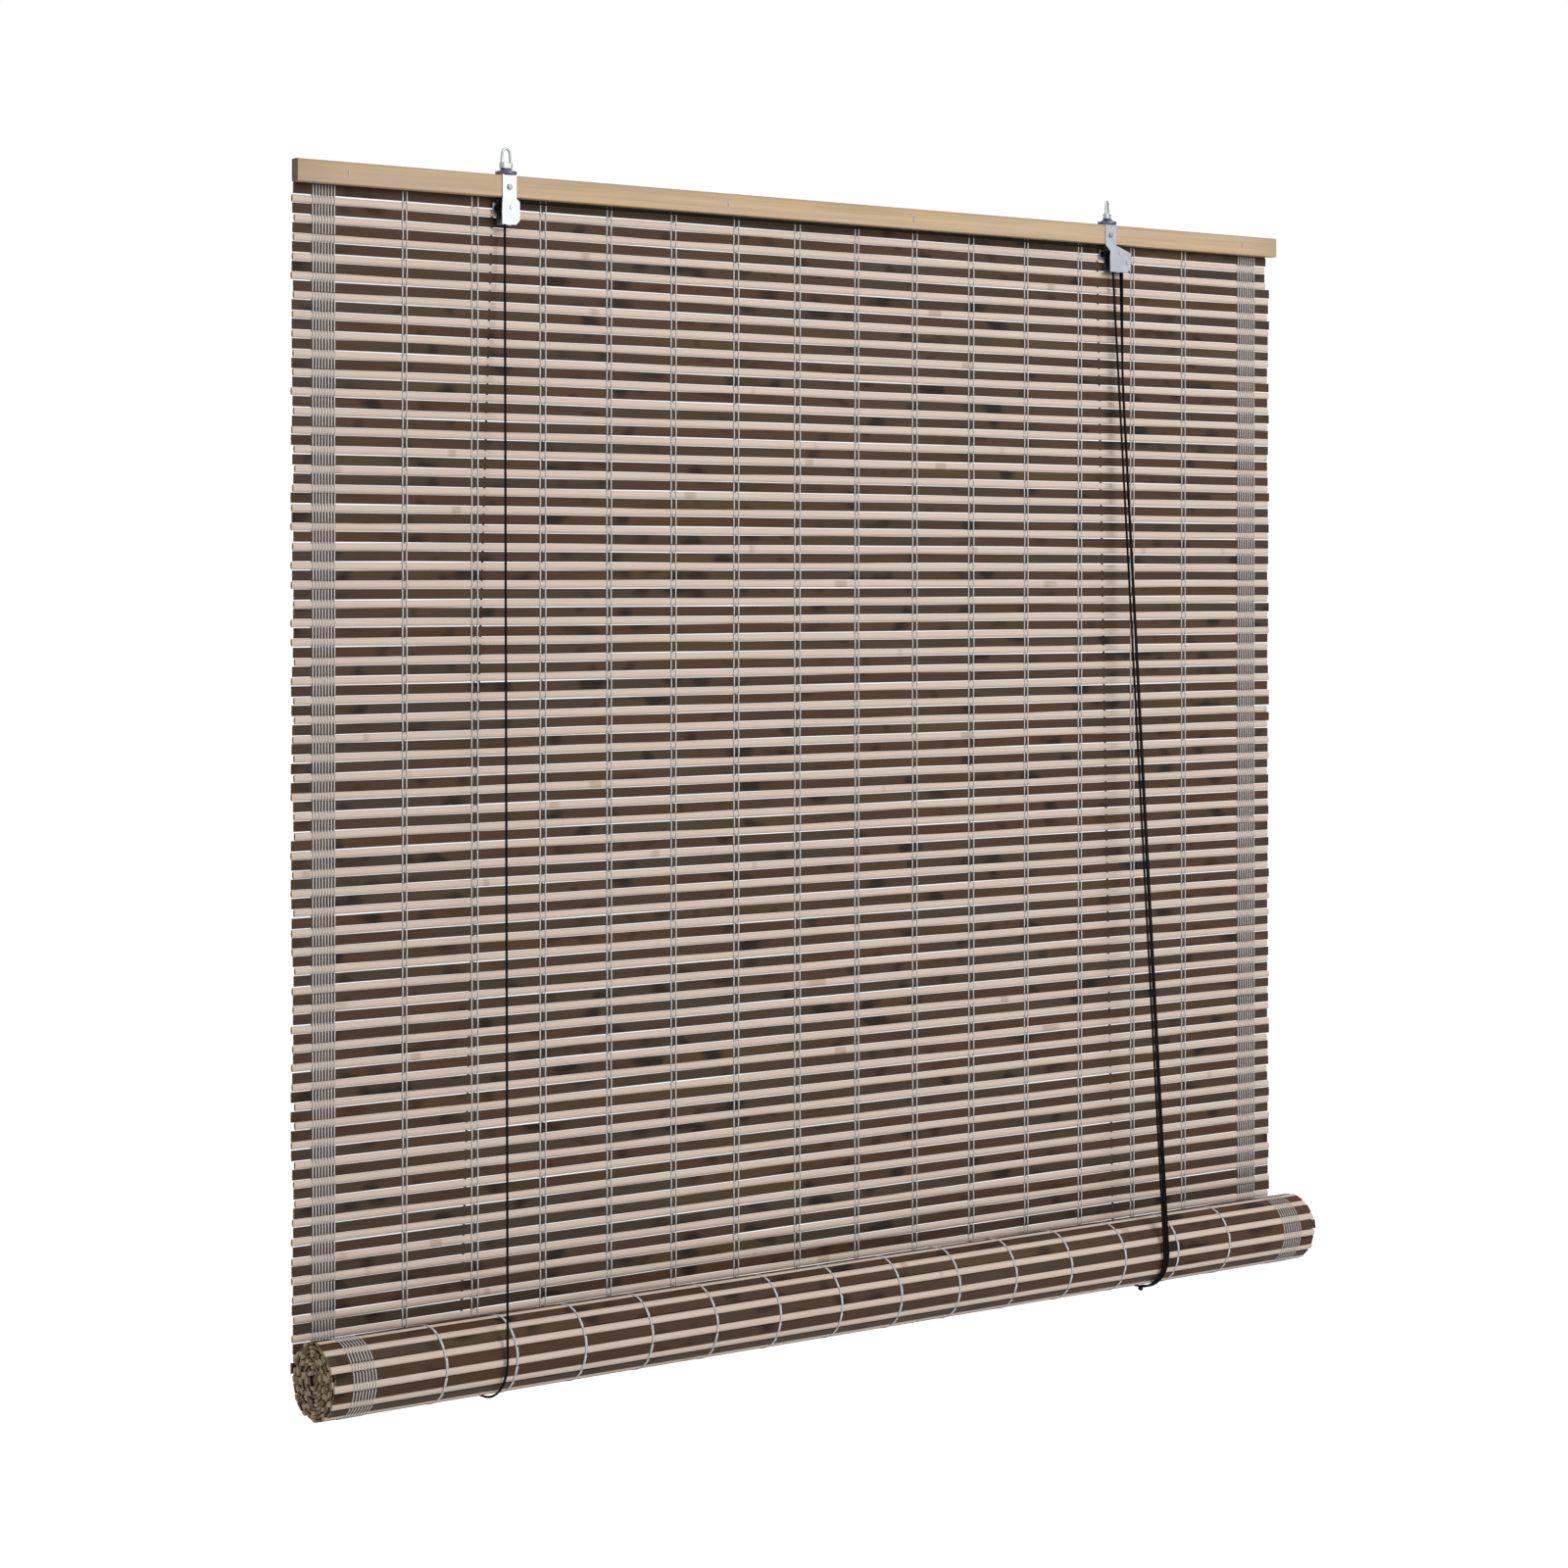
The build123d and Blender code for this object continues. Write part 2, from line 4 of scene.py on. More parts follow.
import bpy
import numpy as np
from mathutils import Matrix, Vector


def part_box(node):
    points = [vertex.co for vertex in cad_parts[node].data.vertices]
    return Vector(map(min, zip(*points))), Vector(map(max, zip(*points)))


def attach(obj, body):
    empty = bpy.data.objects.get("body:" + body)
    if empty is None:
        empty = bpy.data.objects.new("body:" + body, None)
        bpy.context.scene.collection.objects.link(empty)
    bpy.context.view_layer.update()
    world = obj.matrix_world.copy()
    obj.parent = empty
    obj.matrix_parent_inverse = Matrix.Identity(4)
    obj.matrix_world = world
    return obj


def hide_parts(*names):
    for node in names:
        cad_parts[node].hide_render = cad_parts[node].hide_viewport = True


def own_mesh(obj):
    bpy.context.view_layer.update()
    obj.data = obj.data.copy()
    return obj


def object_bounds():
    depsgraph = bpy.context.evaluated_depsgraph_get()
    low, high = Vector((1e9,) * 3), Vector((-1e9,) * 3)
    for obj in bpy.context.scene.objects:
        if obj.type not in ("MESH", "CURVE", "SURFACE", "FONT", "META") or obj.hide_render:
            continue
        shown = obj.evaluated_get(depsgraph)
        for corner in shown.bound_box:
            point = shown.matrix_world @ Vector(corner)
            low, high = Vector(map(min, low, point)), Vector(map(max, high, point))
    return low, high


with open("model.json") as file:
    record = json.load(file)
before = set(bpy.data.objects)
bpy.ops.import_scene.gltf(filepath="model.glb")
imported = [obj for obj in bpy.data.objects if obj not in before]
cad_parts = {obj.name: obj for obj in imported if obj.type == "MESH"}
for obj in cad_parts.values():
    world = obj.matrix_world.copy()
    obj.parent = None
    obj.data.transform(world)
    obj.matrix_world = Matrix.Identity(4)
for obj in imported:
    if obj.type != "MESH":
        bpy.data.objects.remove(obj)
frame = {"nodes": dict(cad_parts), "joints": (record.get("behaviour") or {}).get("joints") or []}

cad_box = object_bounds()


# Headrail: the front batten of pale planed softwood that the whole blind hangs from.
# Its grain runs along it, and its sawn ends show darker end grain.
class Shade:
    """A value or colour on its way through a finish. Sums of values add their own nodes."""

    def __init__(self, socket):
        self.socket = socket

    def node(self, kind, settings=None, inputs=None, output=0):
        """Any other node: its settings first, then the values or links of its sockets."""
        tree = self.socket.id_data
        made = tree.nodes.new(kind)
        for key, value in (settings or {}).items():
            setattr(made, key, value)
        for key, value in (inputs or {}).items():
            if isinstance(value, Shade):
                tree.links.new(value.socket, made.inputs[key])
            else:
                made.inputs[key].default_value = value
        return Shade(made.outputs[output])

    def into(self, made, key):
        """Feed this to a socket of a node that is there already."""
        self.socket.id_data.links.new(self.socket, made.inputs[key])

    def maths(self, operation, *values):
        return self.node("ShaderNodeMath", {"operation": operation}, dict(enumerate(values)))

    def part(self, axis):
        """One of the three numbers of a place or a direction."""
        return self.node("ShaderNodeSeparateXYZ", {}, {0: self}, output=axis)

    def sine(self):
        return self.maths("SINE", self)

    def __abs__(self):
        return self.maths("ABSOLUTE", self)

    def __add__(self, other):
        return self.maths("ADD", self, other)

    def __sub__(self, other):
        return self.maths("SUBTRACT", self, other)

    def __mul__(self, other):
        return self.maths("MULTIPLY", self, other)

    def __gt__(self, other):
        return self.maths("GREATER_THAN", self, other)

    __radd__ = __add__

    def between(self, low, high):
        """The colour this far from low to high. A mix has its colours at sockets 6, 7 and 2."""
        colours = {0: self, 6: low, 7: high}
        return self.node("ShaderNodeMix", {"data_type": "RGBA"}, colours, output=2)

    def speckle(self, stretch, detail=3.0):
        """Noise over this place, drawn out by a scale along each of its three directions."""
        scaled = self.node("ShaderNodeVectorMath", {"operation": "MULTIPLY"}, {0: self, 1: stretch})
        inputs = {"Vector": scaled, "Scale": 1.0, "Detail": detail}
        return self.node("ShaderNodeTexNoise", {}, inputs)

    def window(self, low, high):
        """Nought below low, one above high, and straight between them."""
        inputs = {"Value": self, "From Min": low, "From Max": high}
        return self.node("ShaderNodeMapRange", {}, inputs)

    def relief(self, surface, depth, strength):
        """Raise the surface by this value, times a depth in metres."""
        inputs = {"Height": self, "Distance": depth, "Strength": strength}
        self.node("ShaderNodeBump", {}, inputs).into(surface, "Normal")


def new_finish(name, drawn_on=None, **constants):
    """A material, its surface, and the place that its colours are drawn over."""
    finish = bpy.data.materials.new(name)
    finish.use_nodes = True
    nodes = finish.node_tree.nodes
    surface = nodes["Principled BSDF"]
    for key, value in constants.items():
        surface.inputs[key.replace("_", " ")].default_value = value
    start = Shade(surface.outputs[0])
    if drawn_on:
        settings = {"attribute_name": drawn_on}
        return finish, surface, start.node("ShaderNodeAttribute", settings, output="Vector")
    return finish, surface, start.node("ShaderNodeTexCoord", output="Object")


def dress(finish, *nodes):
    """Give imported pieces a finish."""
    for name in nodes:
        slots = frame["nodes"][name].data.materials
        slots.clear()
        slots.append(finish)


def saw_ends(place, wood, grain):
    """The wood, with the darker end grain of its two sawn ends."""
    facing = place.node("ShaderNodeNewGeometry", output="True Normal")
    nearly_end_on = 0.7
    sawn = abs(facing.part("X")) > nearly_end_on
    end_grain = grain.between((0.12, 0.098, 0.073, 1), (0.29, 0.237, 0.18, 1))
    return sawn.between(wood, end_grain)


rail_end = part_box("headrail")[1]
handled_reach = 0.05
edge_fades_from, edge_fades_to = 0.0024, 0.0008
golden_wood = (0.63, 0.43, 0.20, 1)
pinkish_wood = (0.53, 0.40, 0.305, 1)
handled_wood = (0.31, 0.25, 0.195, 1)
edge_wood = (0.30, 0.245, 0.19, 1)
rail_wood, surface, place = new_finish("rail_wood", Specular_IOR_Level=0.2)
grain = place.speckle((5, 260, 260), 6.0)
golden = place.speckle((7, 30, 30)).window(0.47, 0.68)
flushed = place.speckle((3, 24, 90)).window(0.46, 0.66)
handled = abs(place.part("X")).window(rail_end.x - handled_reach, rail_end.x)
# Darker along the top edge: the colour goes halfway to edge_wood, fading in from 2.4 mm to 0.8 mm
# below the top.
top_edge = place.part("Z").window(rail_end.z - edge_fades_from, rail_end.z - edge_fades_to)
wood = grain.window(0.3, 0.7).between((0.45, 0.315, 0.195, 1), (0.60, 0.445, 0.295, 1))
wood = (golden * 0.5).between(wood, golden_wood)
wood = (flushed * 0.5).between(wood, pinkish_wood)
wood = (handled * 0.4).between(wood, handled_wood)
wood = (top_edge * 0.5).between(wood, edge_wood)
saw_ends(place, wood, grain).into(surface, "Base Color")
(0.5 + grain * 0.25).into(surface, "Roughness")
grain.relief(surface, 0.0004, 0.5)
dress(rail_wood, "headrail")


# Rear batten: a thinner strip of the same softwood, left rough from the saw, which clamps the
# top of the mat against the headrail.
batten_wood, surface, place = new_finish("batten_wood", Specular_IOR_Level=0.2)
grain = place.speckle((9, 340, 340), 6.0)
saw_marks = place.speckle((420, 6, 12), 2.0)
wood = grain.window(0.28, 0.72).between((0.40, 0.27, 0.155, 1), (0.58, 0.42, 0.265, 1))
saw_ends(place, wood, grain).into(surface, "Base Color")
(0.62 + grain * 0.25).into(surface, "Roughness")
(grain + saw_marks * 0.8).relief(surface, 0.0004, 0.6)
dress(batten_wood, "rear_batten")


# Staples: flat steel wire, driven through the headrail and the mat into the rear batten.
# Their zinc has gone dull, so they show as faint grey ticks on the wood.
staple_wire, surface, place = new_finish("staple_wire", Metallic=1.0)
cloud = place.speckle((700, 700, 700), 3.0)
cloud.between((0.24, 0.23, 0.22, 1), (0.42, 0.41, 0.40, 1)).into(surface, "Base Color")
(0.45 + cloud * 0.25).into(surface, "Roughness")
cloud.relief(surface, 0.00005, 0.5)
dress(staple_wire, "rail_staples")


# Slats: flat strips of split bamboo about 9 mm wide, stained dark brown. Their skins run from
# reddish to olive with short dark streaks, and the cut ends stay paler than the stain.
mat_low, mat_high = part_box("slat_mat")
mat_middle = (mat_low.y + mat_high.y) / 2
row_count = 61
slat_height = 0.0089
slat_thickness = 0.002
stick_height = 0.0066
stick_thickness = 0.003
first_slat_drop = 0.0100
first_slat_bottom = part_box("headrail")[0].z - first_slat_drop
row_pitch = (first_slat_bottom - mat_low.z) / row_count
row_gap = (row_pitch - slat_height - stick_height) / 2
short_end = 0.004
bar_stations = 33
slow_waves, quick_waves, quick_spread = 0.6, 3, 2
quick_share, outward_share = 0.5, 0.4
dice = np.random.default_rng(7)


def mesh_piece(name, points, faces, drawn, finishes, picked, smooth_below=180):
    """A new object from points and faces, each point with the place its finish is drawn at."""
    mesh = bpy.data.meshes.new(name)
    mesh.from_pydata(points, [], faces)
    for finish in finishes:
        mesh.materials.append(finish)
    strip = mesh.attributes.new("strip", "FLOAT_VECTOR", "POINT")
    strip.data.foreach_set("vector", np.ravel(drawn))
    mesh.polygons.foreach_set("material_index", picked)
    mesh.polygons.foreach_set("use_smooth", [True] * len(faces))
    mesh.set_sharp_from_angle(angle=math.radians(smooth_below))
    made = bpy.data.objects.new(name, mesh)
    bpy.context.scene.collection.objects.link(made)
    return made


def tube_faces(first, rings, corners):
    """Faces round rings of points and over both ends, from the number of the first point."""
    faces = []
    for ring in range(rings - 1):
        near = first + ring * corners
        far = near + corners
        for corner in range(corners):
            following = (corner + 1) % corners
            faces.append((near + corner, near + following, far + following, far + corner))
    past = first + rings * corners
    faces.append(tuple(range(first + corners - 1, first - 1, -1)))
    faces.append(tuple(range(past - corners, past)))
    return faces


def set_off(x, middle, down, back):
    """The point this far down and back from a bar's middle, along the way the bar is turned."""
    y, z, turn = middle
    return (x, y - down * math.sin(turn) + back * math.cos(turn),
            z - down * math.cos(turn) - back * math.sin(turn))


def lay_bars(name, middles, outline, finishes, stations, trim, sway, smooth_below,
             short_above=math.inf):
    """Bars along the rail that sway a little, with their side in one finish and ends in another.

    A middle is y, z and a turn, and the turn is nought where the mat hangs.
    """
    points, faces, drawn, picked = [], [], [], []
    for middle in middles:
        seed = dice.uniform(0, 1)
        short = short_end if middle[1] > short_above else 0
        ends = (mat_low.x + dice.uniform(0, trim), mat_high.x - dice.uniform(0, trim) - short)
        waves = dice.uniform(0, 1, 4)
        bar_faces = tube_faces(len(points), stations, len(outline))
        faces += bar_faces
        picked += [0] * (len(bar_faces) - 2) + [1, 1]
        for x in np.linspace(*ends, stations):
            slow = math.sin(math.tau * (x * (slow_waves + waves[0]) + waves[1]))
            quick = math.sin(math.tau * (x * (quick_waves + quick_spread * waves[2]) + waves[3]))
            for across, out in outline:
                down = across + sway * (slow + quick_share * quick)
                back = out + outward_share * sway * (slow * quick)
                points.append(set_off(x, middle, down, back))
                drawn.append((x, across, seed))
    return mesh_piece(name, points, faces, drawn, finishes, picked, smooth_below)


slat_half = slat_height / 2
slat_edge = 0.00075
slat_round = 0.00025
slat_flat = slat_thickness / 2
slat_outline = [(-slat_half, slat_edge), (-slat_half, -slat_edge),
                (-slat_half + slat_round, -slat_flat), (slat_half - slat_round, -slat_flat),
                (slat_half, -slat_edge), (slat_half, slat_edge),
                (slat_half - slat_round, slat_flat), (-slat_half + slat_round, slat_flat)]

reddish_brown = (0.084, 0.042, 0.025, 1)
plain_brown = (0.068, 0.047, 0.032, 1)
olive_brown = (0.092, 0.060, 0.028, 1)
deep_brown = (0.036, 0.021, 0.013, 1)
streak_brown = (0.014, 0.008, 0.005, 1)
worn_brown = (0.15, 0.100, 0.060, 1)
slat_stain, surface, place = new_finish("slat_stain", "strip", Specular_IOR_Level=0.1)
hue = place.speckle((2.6, 0, 61)).window(0.38, 0.62)
olive = place.speckle((3.4, 0, 97)).window(0.55, 0.66)
depth = place.speckle((4.5, 30, 43)).window(0.32, 0.68)
streak = place.speckle((26, 40, 71), 1.0).window(0.57, 0.70)
grain = place.speckle((16, 2100, 29), 4.0)
stain = hue.between(reddish_brown, plain_brown)
stain = (olive * 0.7).between(stain, olive_brown)
stain = (depth * 0.45).between(stain, deep_brown)
stain = (streak * 0.9).between(stain, streak_brown)
stain = (grain.window(0.5, 0.75) * 0.35).between(stain, worn_brown)
stain.into(surface, "Base Color")
(0.42 + grain * 0.3).into(surface, "Roughness")
grain.relief(surface, 0.0002, 0.6)

slat_cut, surface, place = new_finish("slat_cut", "strip", Roughness=0.85, Specular_IOR_Level=0.15)
fibre = place.speckle((3000, 3000, 311), 2.0)
lump = place.speckle((0, 800, 311), 1.0)
pale = (fibre * 0.4 + lump * 0.6).window(0.42, 0.58)
pale.between((0.07, 0.050, 0.028, 1), (0.42, 0.32, 0.195, 1)).into(surface, "Base Color")
fibre.relief(surface, 0.0003, 0.7)

slat_middles = [(mat_middle, first_slat_bottom + slat_half - row * row_pitch, 0)
                for row in range(row_count + 1)]
tie_room = 0.0004
slat_middles[0] = (mat_middle, slat_middles[0][1] + tie_room, 0)
header_middle = (mat_middle, slat_middles[0][1] + slat_height, 0)
short_above = slat_middles[2][1]
slats = lay_bars("slats", [header_middle] + slat_middles, slat_outline, [slat_stain, slat_cut],
                 bar_stations, trim=0.003, sway=0.00022, smooth_below=30, short_above=short_above)
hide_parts("slat_mat")
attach(slats, "headrail")
joints = {joint["name"]: joint for joint in frame["joints"]}


def gather(piece):
    """Give the piece a mesh of its own."""
    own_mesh(piece)


gather(slats)


# Sticks: thin round-edged splints of pale bamboo, one between each two slats. They are bare wood,
# cream to pinkish, and each wanders a little between its threads.
stick_half = stick_height / 2
stick_flat = stick_thickness / 2
stick_corners = 10
stick_turns = [math.tau * corner / stick_corners for corner in range(stick_corners)]
stick_outline = [(-stick_half * math.cos(turn), -stick_flat * math.sin(turn))
                 for turn in stick_turns]

pinkish_skin = (0.688, 0.557, 0.482, 1)
cream_skin = (0.678, 0.567, 0.472, 1)
darker_skin = (0.575, 0.45, 0.37, 1)
fibre_skin = (0.50, 0.365, 0.27, 1)
knuckle_skin = (0.36, 0.25, 0.16, 1)
stick_skin, surface, place = new_finish("stick_skin", "strip", Specular_IOR_Level=0.2)
hue = place.speckle((2.2, 0, 83)).window(0.36, 0.64)
tone = place.speckle((6, 90, 53)).window(0.3, 0.7)
grain = place.speckle((22, 2600, 37), 4.0)
knuckle = place.speckle((26, 0, 67), 1.0).window(0.70, 0.74)
skin = hue.between(pinkish_skin, cream_skin)
skin = (tone * 0.35).between(skin, darker_skin)
skin = (grain.window(0.55, 0.8) * 0.4).between(skin, fibre_skin)
skin = (knuckle * 0.5).between(skin, knuckle_skin)
skin.into(surface, "Base Color")
(0.45 + grain * 0.25).into(surface, "Roughness")
(grain + knuckle).relief(surface, 0.0002, 0.5)

stick_cut, surface, place = new_finish("stick_cut", "strip", Roughness=0.85,
                                       Specular_IOR_Level=0.15)
fibre = place.speckle((3000, 3000, 331), 2.0)
pale = fibre.window(0.3, 0.7)
pale.between((0.32, 0.235, 0.14, 1), (0.68, 0.53, 0.345, 1)).into(surface, "Base Color")
fibre.relief(surface, 0.0003, 0.7)

stick_middles = [(mat_middle, z + slat_half + row_gap + stick_half, 0)
                 for _, z, _ in slat_middles[1:]]
sticks = lay_bars("sticks", stick_middles, stick_outline, [stick_skin, stick_cut],
                  bar_stations, trim=0.004, sway=0.0003, smooth_below=70, short_above=short_above)
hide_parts("slat_mat")
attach(sticks, "headrail")
gather(sticks)


# Threads: white cotton warps that hold the rows apart. On the face each column is a pair of thin
# strands, on the back one flat bundle, and near both edges a band of strands close together.
column_count, first_column, column_pitch = 14, 0.1146, 0.07365
band_strands = 8
left_band_start, left_band_pitch = 0.0212, 0.0031
right_band_start, right_band_pitch = 0.047, 0.0034
column_places = [mat_low.x + first_column + column_pitch * column
                 for column in range(column_count)]
left_band = [mat_low.x + left_band_start + left_band_pitch * strand
             for strand in range(band_strands)]
right_band = [mat_high.x - right_band_start + right_band_pitch * strand
              for strand in range(band_strands)]
thread_lift = 0.00025
thread_dip = 0.0002
shoulder_lift = 0.94
slat_bend, stick_bend = 0.9, 0.6
least_drift = 0.4
on_face, on_back = -1, 1
strand_corners = ((0.5, 0), (0, 0.5), (-0.5, 0), (0, -0.5))


def strand_route(rows, x, side, drift):
    """One strand down the rows: over each bar on its side, and to the mat's middle between them."""
    route = []
    for number, (y, z, turn, half, flat) in enumerate(rows):
        lift = side * (flat + thread_lift)
        bend = half * (slat_bend if half == slat_half else stick_bend)
        wander = x + drift * (-1) ** (number // 2) * dice.uniform(least_drift, 1)
        spots = [(-half - row_gap / 2, side * thread_dip), (-bend, lift * shoulder_lift),
                 (0, lift), (bend, lift * shoulder_lift)]
        route += [set_off(wander, (y, z, turn), down, back) for down, back in spots]
    return route


def lay_strands(name, routes, width, thickness):
    """Flat cotton strands along their routes, as one mesh."""
    points, faces, drawn = [], [], []
    for route in routes:
        seed = dice.uniform(0, 1)
        line = np.array(route)
        run = np.gradient(line, axis=0)
        faces += tube_faces(len(points), len(line), len(strand_corners))
        length = 0.0
        for spot, along in zip(line, run):
            rise = np.cross(along, (1, 0, 0))
            rise /= np.linalg.norm(rise)
            length += np.linalg.norm(along)
            for sideways, up in strand_corners:
                beside = spot + np.array((width * sideways, 0, 0))
                points.append(tuple(beside + rise * thickness * up))
                drawn.append((length, sideways * width, seed))
    return mesh_piece(name, points, faces, drawn, [thread_cotton], [0] * len(faces))


thread_cotton, surface, place = new_finish("thread_cotton", "strip", Roughness=0.9,
                                           Specular_IOR_Level=0.15)
ply = place.speckle((1500, 2600, 19), 2.0)
white = ply.window(0.3, 0.7).between((0.55, 0.525, 0.515, 1), (0.76, 0.735, 0.725, 1))
white.into(surface, "Base Color")
ply.relief(surface, 0.0002, 0.7)

slat_rows = [(y, z, turn, slat_half, slat_flat) for y, z, turn in slat_middles]
stick_rows = [(y, z, turn, stick_half, stick_flat) for y, z, turn in stick_middles]
hanging_rows = sorted(slat_rows + stick_rows, key=lambda row: -row[1])
least_reach, most_reach = 0.0020, 0.0034
pair_drift, band_drift = 0.0003, 0.0002
face_routes = []
for x in column_places:
    pair_reach = dice.uniform(least_reach, most_reach)
    face_routes += [strand_route(hanging_rows, x + reach, on_face, pair_drift)
                    for reach in (-pair_reach, pair_reach)]
face_threads = lay_strands("face_threads", face_routes, width=0.0015, thickness=0.0006)
band_routes = [strand_route(hanging_rows, x, on_face, band_drift) for x in left_band + right_band]
band_threads = lay_strands("band_threads", band_routes, width=0.0014, thickness=0.0006)
back_routes = [strand_route(hanging_rows, x, on_back, pair_drift)
               for x in column_places + left_band + right_band]
back_threads = lay_strands("back_threads", back_routes, width=0.0026, thickness=0.0005)
for threads in (face_threads, band_threads, back_threads):
    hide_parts("slat_mat")
    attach(threads, "headrail")
    gather(threads)


# Rolled mat: the rest of the slats and sticks, wound up round the bottom lath with the mat's back
# outwards. The ends of the turns show as a spiral of cut bamboo.
roll_axis = Vector(joints["roll_turn"]["pos_m"])
lath_low, lath_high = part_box("bottom_lath")
lath_radius = (lath_high.z - lath_low.z) / 2
lath_room = 0.0016
layer_pitch = 0.0034
outer_middle = mat_middle - roll_axis.y
inner_middle = lath_radius + lath_room
bar_kinds = ((stick_half, stick_flat, "stick"), (slat_half, slat_flat, "slat"))
wound = {"stick": [], "slat": []}
outer_rows = []
turn = 0.0
middle = outer_middle
while middle > inner_middle:
    for half, flat, kind in bar_kinds:
        turn += (row_gap + half) / middle
        middle = outer_middle - layer_pitch * turn / math.tau
        y = roll_axis.y + middle * math.cos(turn)
        z = roll_axis.z - middle * math.sin(turn)
        wound[kind].append((y, z, turn))
        if turn < math.tau:
            outer_rows.append((y, z, turn, half, flat))
        turn += half / middle

hidden_from = math.tau + 0.6
outer = {kind: [bar for bar in bars if bar[2] < hidden_from] for kind, bars in wound.items()}
inner = {kind: bars[len(outer[kind]):] for kind, bars in wound.items()}
pressed = 1.35
inner_outline = [(across, out * pressed) for across, out in slat_outline]
inner_stations = 3
roll_pieces = [
    lay_bars("rolled_slats", outer["slat"], slat_outline, [slat_stain, slat_cut],
             bar_stations, trim=0.004, sway=0.0001, smooth_below=30),
    lay_bars("rolled_sticks", outer["stick"], stick_outline, [stick_skin, stick_cut],
             bar_stations, trim=0.004, sway=0.0001, smooth_below=70),
    lay_bars("inner_slats", inner["slat"], inner_outline, [slat_stain, slat_cut],
             inner_stations, trim=0.002, sway=0, smooth_below=30),
    lay_bars("inner_sticks", inner["stick"], stick_outline, [stick_skin, stick_cut],
             inner_stations, trim=0.002, sway=0, smooth_below=70),
]
column_routes = [strand_route(outer_rows, x, on_back, pair_drift) for x in column_places]
roll_pieces.append(lay_strands("roll_threads", column_routes, width=0.0028, thickness=0.0006))
band_routes = [strand_route(outer_rows, x, on_back, band_drift) for x in left_band + right_band]
roll_pieces.append(lay_strands("roll_bands", band_routes, width=0.0013, thickness=0.0006))
for piece in roll_pieces:
    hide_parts("rolled_mat")
    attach(piece, "roll")


# Bottom lath: the round wooden rod that the mat is stapled to and wound round.
# Only its darkened ends show, sunk in the middle of the turns.
lath_wood, surface, place = new_finish("lath_wood", Specular_IOR_Level=0.2)
rings = place.speckle((40, 700, 700), 3.0)
wood = rings.window(0.3, 0.7).between((0.10, 0.07, 0.04, 1), (0.30, 0.21, 0.12, 1))
wood.into(surface, "Base Color")
(0.6 + rings * 0.3).into(surface, "Roughness")
rings.relief(surface, 0.0003, 0.5)
dress(lath_wood, "bottom_lath")


# Strap clips: zinc-plated steel strip folded over the rail, with the cord wheel's housing below.
# The plating has a bluish cast and dulls unevenly.
strap_zinc, surface, place = new_finish("strap_zinc", Metallic=1.0)
cloud = place.speckle((160, 160, 160), 5.0)
rolled = place.speckle((2400, 300, 120), 3.0)
cloud.between((0.35, 0.362, 0.40, 1), (0.48, 0.493, 0.535, 1)).into(surface, "Base Color")
(0.2 + cloud * 0.22 + rolled * 0.12).into(surface, "Roughness")
rolled.relief(surface, 0.00003, 0.5)
dress(strap_zinc, "left_strap", "right_strap")


# Screws: one domed steel screw through the front leg of each strap into the headrail.
# They are duller than the strip.
screw_steel, surface, place = new_finish("screw_steel", Metallic=1.0)
cloud = place.speckle((900, 900, 900), 3.0)
cloud.between((0.20, 0.19, 0.18, 1), (0.38, 0.37, 0.36, 1)).into(surface, "Base Color")
(0.35 + cloud * 0.25).into(surface, "Roughness")
cloud.relief(surface, 0.00005, 0.5)
dress(screw_steel, "strap_screws")


# Swivel eyes: bent steel wire on a turned stem, free to turn in the collar below.
# The wire is plain zinc, greyer than the straps.
eye_zinc, surface, place = new_finish("eye_zinc", Metallic=1.0)
cloud = place.speckle((240, 240, 240), 4.0)
cloud.between((0.27, 0.28, 0.30, 1), (0.48, 0.49, 0.51, 1)).into(surface, "Base Color")
(0.25 + cloud * 0.3).into(surface, "Roughness")
place.speckle((900, 900, 5200), 2.0).relief(surface, 0.00004, 0.6)
dress(eye_zinc, "left_eye", "right_eye")


# Collars: turned steel cones with a wide foot, one riveted on the top of each strap under its eye.
# They are nearly black, with thin brighter lines left by the turning.
collar_steel, surface, place = new_finish("collar_steel", Metallic=1.0)
turned = place.speckle((60, 60, 5200), 2.0)
turned.between((0.05, 0.05, 0.07, 1), (0.19, 0.19, 0.24, 1)).into(surface, "Base Color")
(0.28 + turned * 0.25).into(surface, "Roughness")
turned.relief(surface, 0.00004, 0.6)
dress(collar_steel, "left_collar", "right_collar")


# Cord wheels, rivets and lock cam: black moulded wheels on steel rivets between the housing's
# cheeks, and at the right a plated cam that pinches the pull cords.
wheel_plastic, surface, place = new_finish("wheel_plastic", Specular_IOR_Level=0.4)
moulded = place.speckle((1800, 1800, 1800), 3.0)
moulded.between((0.012, 0.012, 0.013, 1), (0.030, 0.030, 0.032, 1)).into(surface, "Base Color")
(0.4 + moulded * 0.25).into(surface, "Roughness")
moulded.relief(surface, 0.00005, 0.5)
dress(wheel_plastic, "left_wheel", "right_wheel")
dress(strap_zinc, "left_axle", "right_axle", "cam_pin", "lock_cam")


